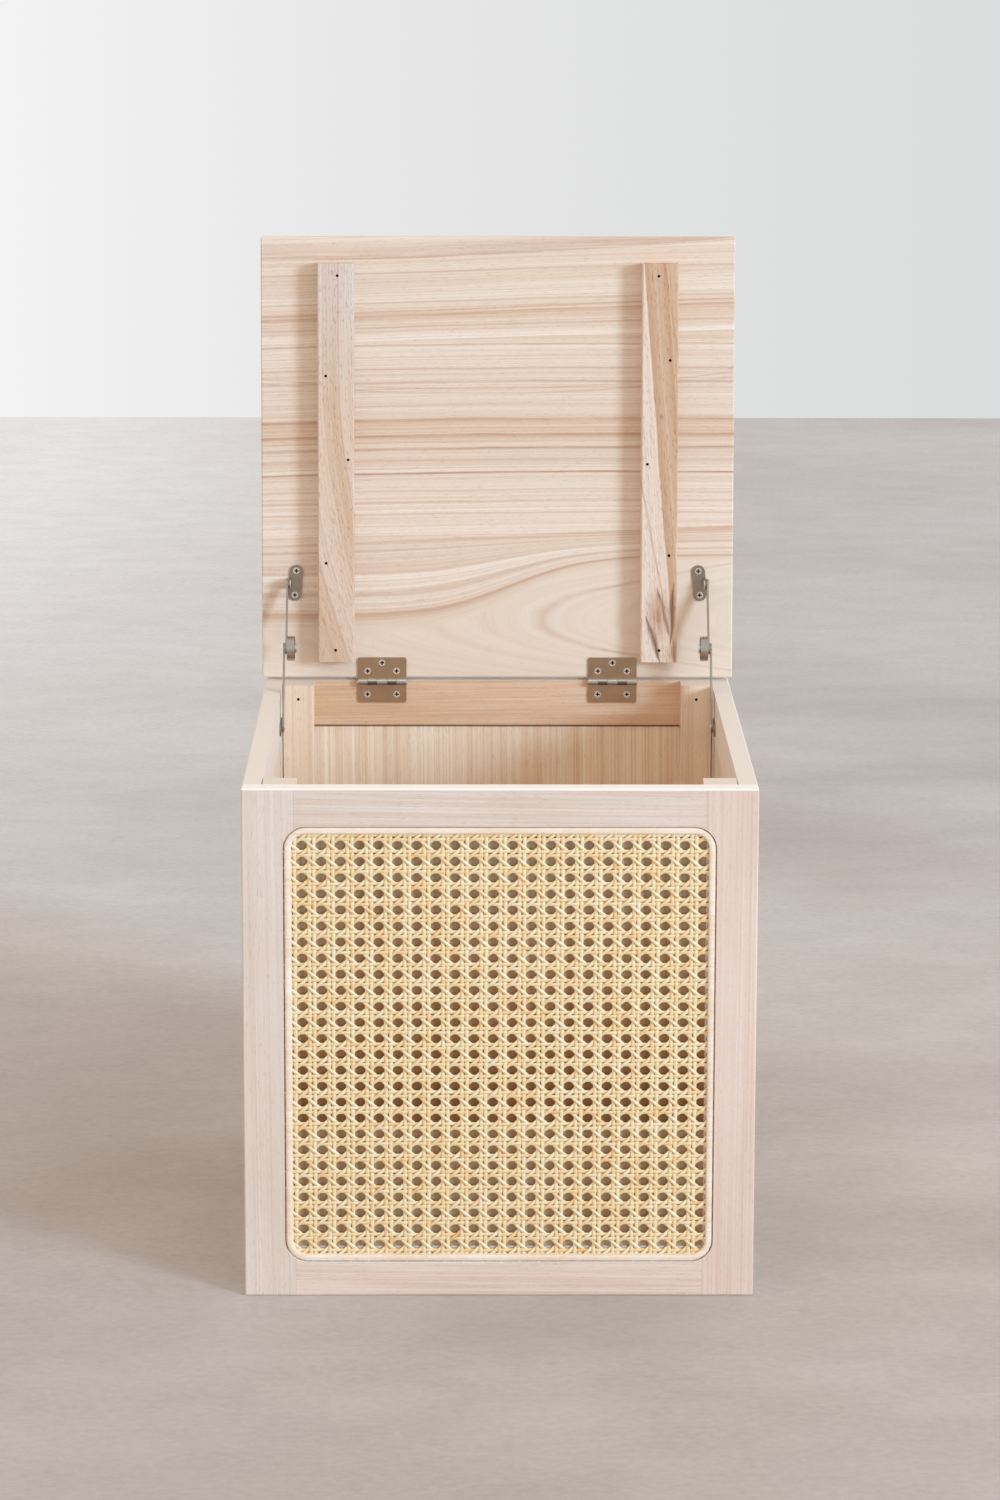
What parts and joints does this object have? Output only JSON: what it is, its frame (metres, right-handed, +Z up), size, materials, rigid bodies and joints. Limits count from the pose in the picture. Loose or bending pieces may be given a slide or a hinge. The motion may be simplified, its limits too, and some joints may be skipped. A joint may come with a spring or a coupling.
{
  "type": "rattan trunk",
  "caption": "Cube storage trunk with framed cane panels and a top lid hinged at the back on folding stays.",
  "frame": {"origin": "at floor level, under the middle of the box and its open lid together", "axes": "+X to the right and +Y to the back of the trunk as seen from the front, +Z up; the front face is towards -Y"},
  "size_m": [0.406, 0.4234, 0.7927],
  "materials": {
    "frame_wood": "washed pale wood, satin clear coat",
    "panel_wood": "pale planed wood, matt",
    "post_wood": "pale planed wood, matt",
    "lid_wood": "pale edge-glued planks, satin clear coat",
    "bead_wood": "pale steam-bent strip, satin",
    "cane_webbing": "woven natural cane, glossy skin",
    "satin_steel": "satin plated steel",
    "brad_steel": "dull steel"
  },
  "bodies": {
    "box": {"front_left_stile": "frame_wood", "front_right_stile": "frame_wood", "front_top_rail": "frame_wood", "front_bottom_rail": "frame_wood", "back_left_stile": "frame_wood", "back_right_stile": "frame_wood", "back_top_rail": "frame_wood", "back_bottom_rail": "frame_wood", "left_front_stile": "frame_wood", "left_back_stile": "frame_wood", "left_top_rail": "frame_wood", "left_bottom_rail": "frame_wood", "right_front_stile": "frame_wood", "right_back_stile": "frame_wood", "right_top_rail": "frame_wood", "right_bottom_rail": "frame_wood", "front_panel": "panel_wood", "back_panel": "panel_wood", "left_panel": "panel_wood", "right_panel": "panel_wood", "bottom_panel": "panel_wood", "bottom_cleats": "panel_wood", "front_cane": "cane_webbing", "left_cane": "cane_webbing", "right_cane": "cane_webbing", "front_bead": "bead_wood", "left_bead": "bead_wood", "right_bead": "bead_wood", "front_left_post": "post_wood", "front_right_post": "post_wood", "back_left_post": "post_wood", "back_right_post": "post_wood", "left_hinge_box_leaf": "satin_steel", "right_hinge_box_leaf": "satin_steel", "hinge_pins": "satin_steel", "left_stay_side_plate": "satin_steel", "right_stay_side_plate": "satin_steel", "stay_side_rivets": "satin_steel", "box_screws": "satin_steel", "post_brads": "brad_steel"},
    "lid": {"lid_rear_plank": "lid_wood", "lid_middle_plank": "lid_wood", "lid_front_plank": "lid_wood", "lid_left_batten": "lid_wood", "lid_right_batten": "lid_wood", "left_hinge_lid_leaf": "satin_steel", "right_hinge_lid_leaf": "satin_steel", "left_stay_lid_plate": "satin_steel", "right_stay_lid_plate": "satin_steel", "stay_lid_rivets": "satin_steel", "lid_screws": "satin_steel", "batten_brads": "brad_steel"},
    "left_lower_arm": {"left_stay_lower_arm": "satin_steel", "left_stay_pivot_screw": "satin_steel"},
    "right_lower_arm": {"right_stay_lower_arm": "satin_steel", "right_stay_pivot_screw": "satin_steel"},
    "left_upper_arm": {"left_stay_upper_arm": "satin_steel", "left_stay_drum": "satin_steel"},
    "right_upper_arm": {"right_stay_upper_arm": "satin_steel", "right_stay_drum": "satin_steel"}
  },
  "joints": [
    {"name": "lid_hinge", "type": "hinge", "parent": "box", "child": "lid", "pos_m": [0, 0.16997, 0.409], "axis": [1, 0, 0], "range_deg": [0, 93.8]},
    {"name": "left_stay_lower_pivot", "type": "hinge", "parent": "box", "child": "left_lower_arm", "pos_m": [-0.18255, 0.11497, 0.3825], "axis": [1, 0, 0], "range_deg": [0, 138.6]},
    {"name": "left_stay_middle_pivot", "type": "hinge", "parent": "left_lower_arm", "child": "left_upper_arm", "pos_m": [-0.18075, 0.14174, 0.44501], "axis": [1, 0, 0], "range_deg": [-141.2, 0]},
    {"name": "right_stay_lower_pivot", "type": "hinge", "parent": "box", "child": "right_lower_arm", "pos_m": [0.18255, 0.11497, 0.3825], "axis": [1, 0, 0], "range_deg": [0, 138.6]},
    {"name": "right_stay_middle_pivot", "type": "hinge", "parent": "right_lower_arm", "child": "right_upper_arm", "pos_m": [0.18075, 0.14174, 0.44501], "axis": [1, 0, 0], "range_deg": [-141.2, 0]}
  ],
  "couplings": [
    {"joint": "left_stay_lower_pivot", "follows": "lid_hinge", "ratio": 1.4771},
    {"joint": "left_stay_middle_pivot", "follows": "lid_hinge", "ratio": -1.5045},
    {"joint": "right_stay_lower_pivot", "follows": "lid_hinge", "ratio": 1.4771},
    {"joint": "right_stay_middle_pivot", "follows": "lid_hinge", "ratio": -1.5045}
  ]
}
